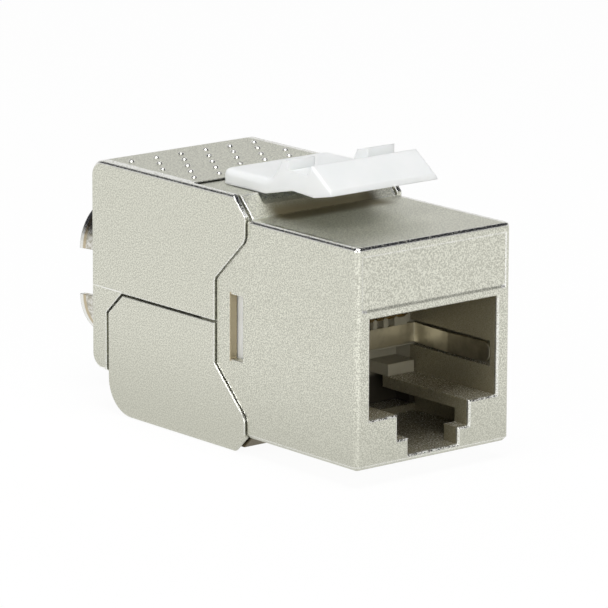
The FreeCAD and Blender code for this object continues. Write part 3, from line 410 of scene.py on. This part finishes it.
def moulded_plastic(name, colour, shade, roughness):
    material, tree, surface = new_material(name)
    place = tree.nodes.new("ShaderNodeTexCoord").outputs["Object"]
    flow = noise_of(tree, place, 420, 2.0)
    grain = noise_of(tree, place, 9000, 2.0)
    tree.links.new(mix_by(tree, range_of(tree, flow, 0.3, 0.7), colour, shade),
                   surface.inputs["Base Color"])
    tree.links.new(range_of(tree, grain, 0.3, 0.7, roughness - 0.04, roughness + 0.05),
                   surface.inputs["Roughness"])
    add_relief(tree, surface, grain, rounded_edges(tree, 0.1 * MM), 0.12, 0.01 * MM)
    return material


nylon = moulded_plastic("white_nylon", NYLON, NYLON_SHADE, 0.42)
translucent = nylon.node_tree.nodes["Principled BSDF"]
translucent.inputs["Subsurface Weight"].default_value = 0.6
translucent.inputs["Subsurface Scale"].default_value = 0.7 * MM
translucent.inputs["Subsurface Radius"].default_value = (1.0, 1.0, 0.95)
dress_node("latch", nylon)

# ---------------------------------------------------------------- punch block and wire manager
# Both are white mouldings. The block fills the chamber and shows in the side windows, and
# the manager carries the eight conductors onto the blades as the wings close.

block_plastic = moulded_plastic("white_block", (0.93, 0.94, 0.925, 1), (0.89, 0.90, 0.885, 1), 0.45)
for name in ("idc_block", "wire_manager"):
    dress_node(name, block_plastic)

# ---------------------------------------------------------------- contact carrier
# The carrier is a brown-grey moulding behind the port, with a comb that keeps the contacts'
# tips apart and a block in each lower corner that stops the plug. Low down, painted shade makes it
# nearly black.

def paint_light_and_shade_along(material, axis, start, end, painted_colour):
    """Painted light or shade: base colour that turns into the painted colour between two places
    along an axis.
    """
    tree = material.node_tree
    colour_input = tree.nodes["Principled BSDF"].inputs["Base Color"]
    colour = colour_input.links[0].from_socket
    place = tree.nodes["Texture Coordinate"].outputs["Object"]
    share = range_of(tree, split_of(tree, place)[axis], start, end)
    tree.links.new(mix_by(tree, share, colour, painted_colour), colour_input)


carrier = moulded_plastic("grey_carrier", (0.36, 0.335, 0.25, 1), (0.31, 0.29, 0.215, 1), 0.5)
# Painted shade: the carrier turns nearly black low down in the port.
paint_light_and_shade_along(carrier, "Z", 4.9 * MM, 4.3 * MM, (0.035, 0.03, 0.02, 1))
dress_node("contact_carrier", carrier)

# ---------------------------------------------------------------- circuit board
# The board is a green glass-fibre laminate between the carrier and the block. Its plated
# holes hold the tails of the contacts and blades, and its tracks join them.

dress_node("circuit_board",
           moulded_plastic("green_laminate", (0.03, 0.12, 0.05, 1), (0.025, 0.1, 0.04, 1), 0.35))

# ---------------------------------------------------------------- bright metal strip
# The earthing band and the cable clamps are pressed from thin strip and plated bright.
# The contacts are gold-flashed spring wire, and the blades are tinned bronze.


def bright_metal(name, colour, shade, roughness, streak=600, strength=0.2, depth=0.03 * MM):
    material, tree, surface = new_material(name)
    surface.inputs["Metallic"].default_value = 1.0
    place = tree.nodes.new("ShaderNodeTexCoord").outputs["Object"]
    patch = noise_of(tree, place, streak, 3.0)
    tree.links.new(mix_by(tree, range_of(tree, patch, 0.35, 0.65), colour, shade),
                   surface.inputs["Base Color"])
    tree.links.new(range_of(tree, patch, 0.3, 0.7, roughness, roughness * 1.6),
                   surface.inputs["Roughness"])
    add_relief(tree, surface, patch, rounded_edges(tree, 0.08 * MM), strength, depth)
    return material


clamp_plate = bright_metal("bright_nickel", (0.72, 0.71, 0.66, 1), (0.42, 0.40, 0.33, 1), 0.12,
                           streak=3500, strength=0.45, depth=0.035 * MM)
clamp_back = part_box("upper_cable_clamp")[1][1]
# Painted stripes at the clamps' rear end: a tan band of painted shade, then a pale band of painted
# highlight.
paint_light_and_shade_along(clamp_plate, "Y", clamp_back - 0.62 * MM, clamp_back - 0.5 * MM, (0.52, 0.45, 0.32, 1))
paint_light_and_shade_along(clamp_plate, "Y", clamp_back - 0.33 * MM, clamp_back - 0.25 * MM, (0.80, 0.80, 0.76, 1))
for name in ("upper_cable_clamp", "lower_cable_clamp"):
    dress_node(name, clamp_plate)
dress_node("shield_band",
           bright_metal("band_plate", (0.62, 0.58, 0.46, 1), (0.40, 0.37, 0.28, 1), 0.3))
gold = bright_metal("gold_flash", (0.83, 0.62, 0.28, 1), (0.76, 0.56, 0.25, 1), 0.2)
tin = bright_metal("tinned_bronze", (0.66, 0.66, 0.64, 1), (0.58, 0.58, 0.56, 1), 0.25)
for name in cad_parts:
    if name.startswith("contact_") and name != "contact_carrier":
        dress_node(name, gold)
    if name.startswith("idc_blade"):
        dress_node(name, tin)
